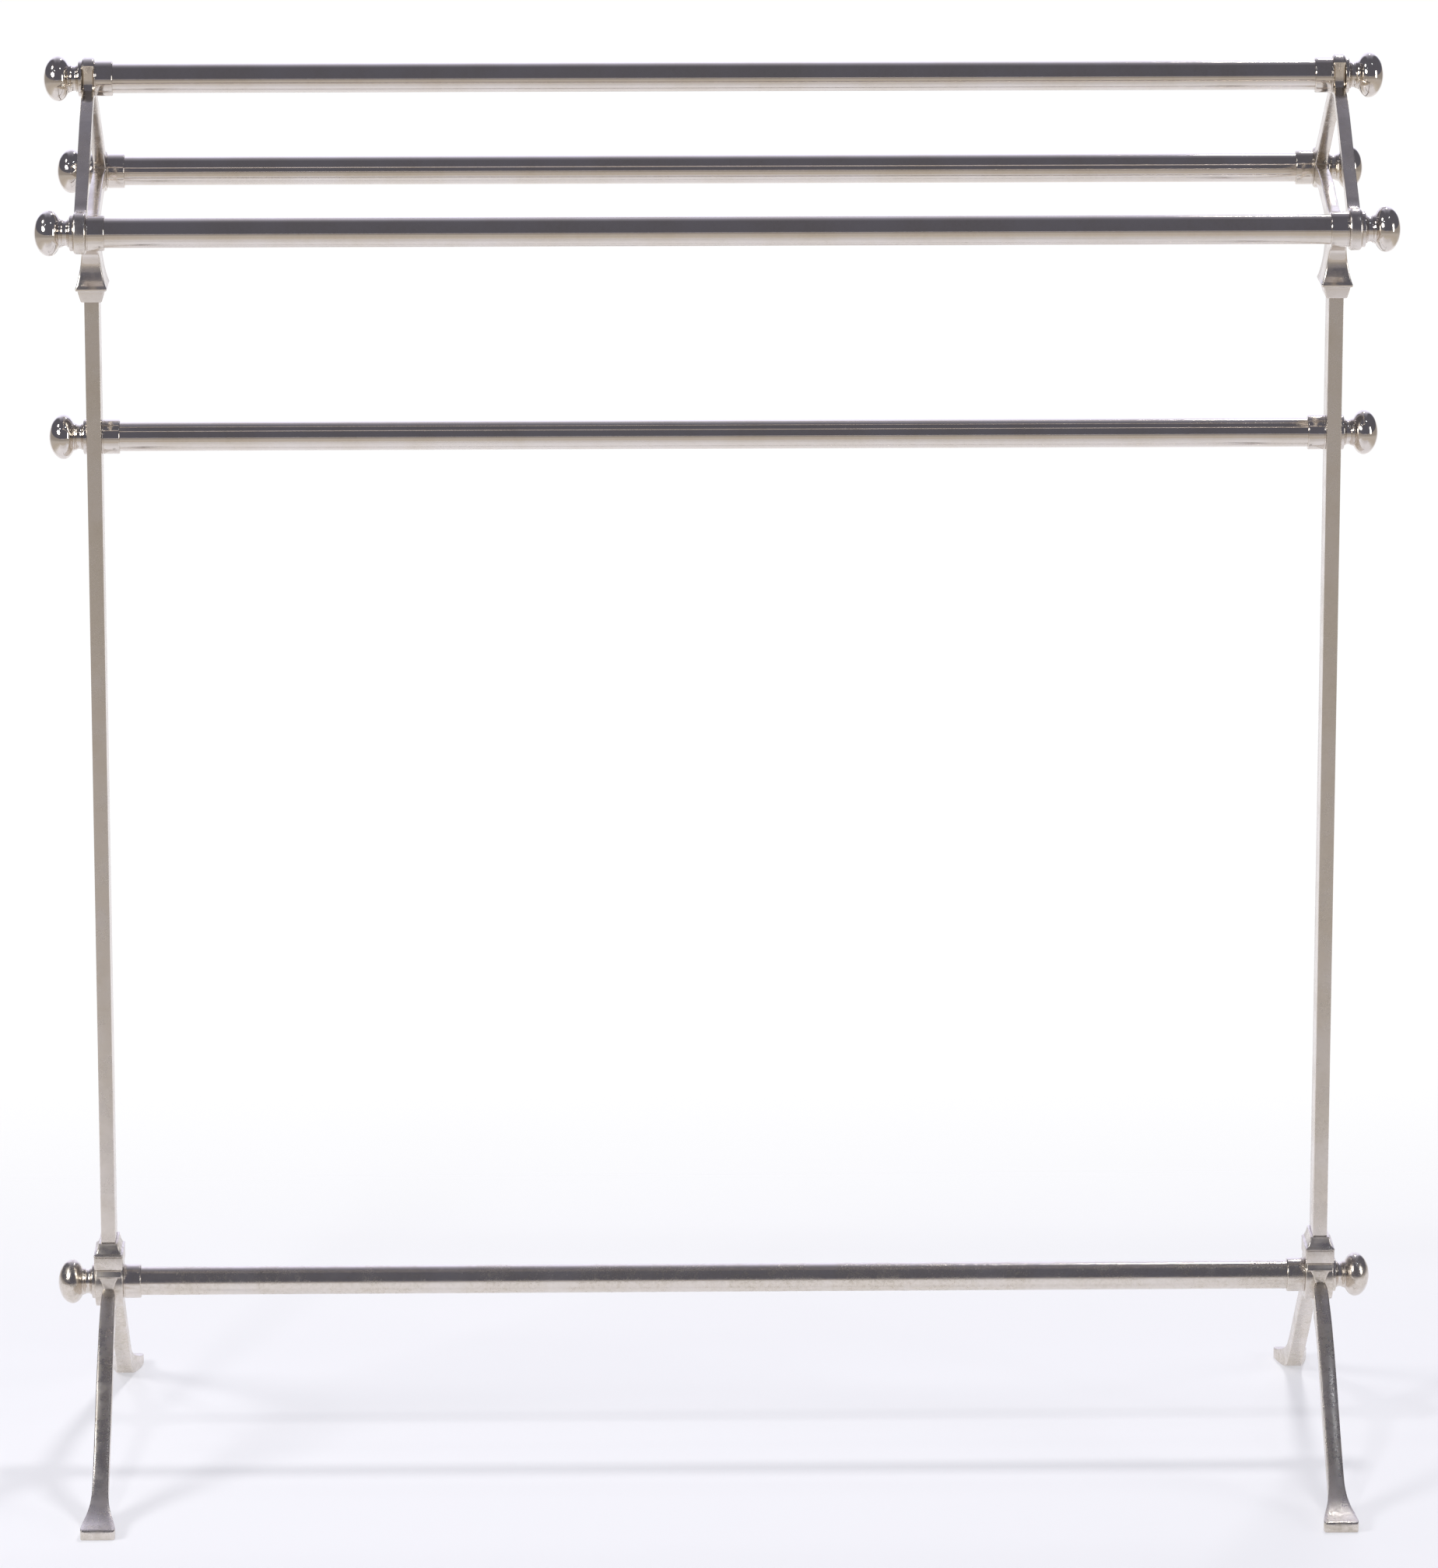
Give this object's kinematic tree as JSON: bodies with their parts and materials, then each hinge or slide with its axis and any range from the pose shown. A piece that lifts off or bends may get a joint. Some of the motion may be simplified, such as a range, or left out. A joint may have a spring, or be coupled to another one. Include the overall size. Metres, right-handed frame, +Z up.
{
  "type": "towel stand",
  "caption": "Free-standing rail stand for towels: round metal rails in tiers between two flat-bar uprights, with triangular cast heads, arched cast feet and screwed-on bun knobs.",
  "frame": {"origin": "on the floor, under the middle of the stand", "axes": "+X along the rails to the viewer's right, -Y to the front, +Z up"},
  "size_m": [0.8852, 0.391, 0.9497],
  "materials": {
    "polished_nickel": "polished nickel plate on brass, lightly tarnished",
    "cast_nickel": "polished nickel plate on cast brass, mottled and pitted low down",
    "satin_nickel": "satin nickel plate on drawn brass bar",
    "raw_brass": "turned, unplated"
  },
  "bodies": {
    "stand": {"left_upright": "satin_nickel", "left_head_casting": "cast_nickel", "left_foot_casting": "cast_nickel", "left_head_socket_pin": "raw_brass", "left_foot_socket_pin": "raw_brass", "right_upright": "satin_nickel", "right_head_casting": "cast_nickel", "right_foot_casting": "cast_nickel", "right_head_socket_pin": "raw_brass", "right_foot_socket_pin": "raw_brass", "top_rail": "polished_nickel", "top_rail_left_ferrule": "polished_nickel", "top_rail_left_end_stud": "raw_brass", "top_rail_right_ferrule": "polished_nickel", "top_rail_right_end_stud": "raw_brass", "front_upper_rail": "polished_nickel", "front_upper_rail_left_ferrule": "polished_nickel", "front_upper_rail_left_end_stud": "raw_brass", "front_upper_rail_right_ferrule": "polished_nickel", "front_upper_rail_right_end_stud": "raw_brass", "rear_upper_rail": "polished_nickel", "rear_upper_rail_left_ferrule": "polished_nickel", "rear_upper_rail_left_end_stud": "raw_brass", "rear_upper_rail_right_ferrule": "polished_nickel", "rear_upper_rail_right_end_stud": "raw_brass", "middle_rail": "polished_nickel", "middle_rail_left_ferrule": "polished_nickel", "middle_rail_left_end_stud": "raw_brass", "middle_rail_right_ferrule": "polished_nickel", "middle_rail_right_end_stud": "raw_brass", "bottom_rail": "polished_nickel", "bottom_rail_left_ferrule": "polished_nickel", "bottom_rail_left_end_stud": "raw_brass", "bottom_rail_right_ferrule": "polished_nickel", "bottom_rail_right_end_stud": "raw_brass"},
    "top_rail_left_knob_body": {"top_rail_left_knob": "polished_nickel"},
    "top_rail_right_knob_body": {"top_rail_right_knob": "polished_nickel"},
    "front_upper_rail_left_knob_body": {"front_upper_rail_left_knob": "polished_nickel"},
    "front_upper_rail_right_knob_body": {"front_upper_rail_right_knob": "polished_nickel"},
    "rear_upper_rail_left_knob_body": {"rear_upper_rail_left_knob": "polished_nickel"},
    "rear_upper_rail_right_knob_body": {"rear_upper_rail_right_knob": "polished_nickel"},
    "middle_rail_left_knob_body": {"middle_rail_left_knob": "polished_nickel"},
    "middle_rail_right_knob_body": {"middle_rail_right_knob": "polished_nickel"},
    "bottom_rail_left_knob_body": {"bottom_rail_left_knob": "polished_nickel"},
    "bottom_rail_right_knob_body": {"bottom_rail_right_knob": "polished_nickel"}
  },
  "joints": [
    {"name": "top_rail_left_knob_unscrew", "type": "hinge", "parent": "stand", "child": "top_rail_left_knob_body", "pos_m": [-0.41205, 0, 0.935], "axis": [-1, 0, 0], "range_deg": [0, 3300]},
    {"name": "top_rail_right_knob_unscrew", "type": "hinge", "parent": "stand", "child": "top_rail_right_knob_body", "pos_m": [0.41205, 0, 0.935], "axis": [1, 0, 0], "range_deg": [0, 3300]},
    {"name": "front_upper_rail_left_knob_unscrew", "type": "hinge", "parent": "stand", "child": "front_upper_rail_left_knob_body", "pos_m": [-0.41205, -0.127, 0.854], "axis": [-1, 0, 0], "range_deg": [0, 3300]},
    {"name": "front_upper_rail_right_knob_unscrew", "type": "hinge", "parent": "stand", "child": "front_upper_rail_right_knob_body", "pos_m": [0.41205, -0.127, 0.854], "axis": [1, 0, 0], "range_deg": [0, 3300]},
    {"name": "rear_upper_rail_left_knob_unscrew", "type": "hinge", "parent": "stand", "child": "rear_upper_rail_left_knob_body", "pos_m": [-0.41205, 0.127, 0.854], "axis": [-1, 0, 0], "range_deg": [0, 3300]},
    {"name": "rear_upper_rail_right_knob_unscrew", "type": "hinge", "parent": "stand", "child": "rear_upper_rail_right_knob_body", "pos_m": [0.41205, 0.127, 0.854], "axis": [1, 0, 0], "range_deg": [0, 3300]},
    {"name": "middle_rail_left_knob_unscrew", "type": "hinge", "parent": "stand", "child": "middle_rail_left_knob_body", "pos_m": [-0.41281, 0, 0.6975], "axis": [-1, 0, 0], "range_deg": [0, 3300]},
    {"name": "middle_rail_right_knob_unscrew", "type": "hinge", "parent": "stand", "child": "middle_rail_right_knob_body", "pos_m": [0.41281, 0, 0.6975], "axis": [1, 0, 0], "range_deg": [0, 3300]},
    {"name": "bottom_rail_left_knob_unscrew", "type": "hinge", "parent": "stand", "child": "bottom_rail_left_knob_body", "pos_m": [-0.41735, 0, 0.118], "axis": [-1, 0, 0], "range_deg": [0, 3300]},
    {"name": "bottom_rail_right_knob_unscrew", "type": "hinge", "parent": "stand", "child": "bottom_rail_right_knob_body", "pos_m": [0.41735, 0, 0.118], "axis": [1, 0, 0], "range_deg": [0, 3300]}
  ]
}
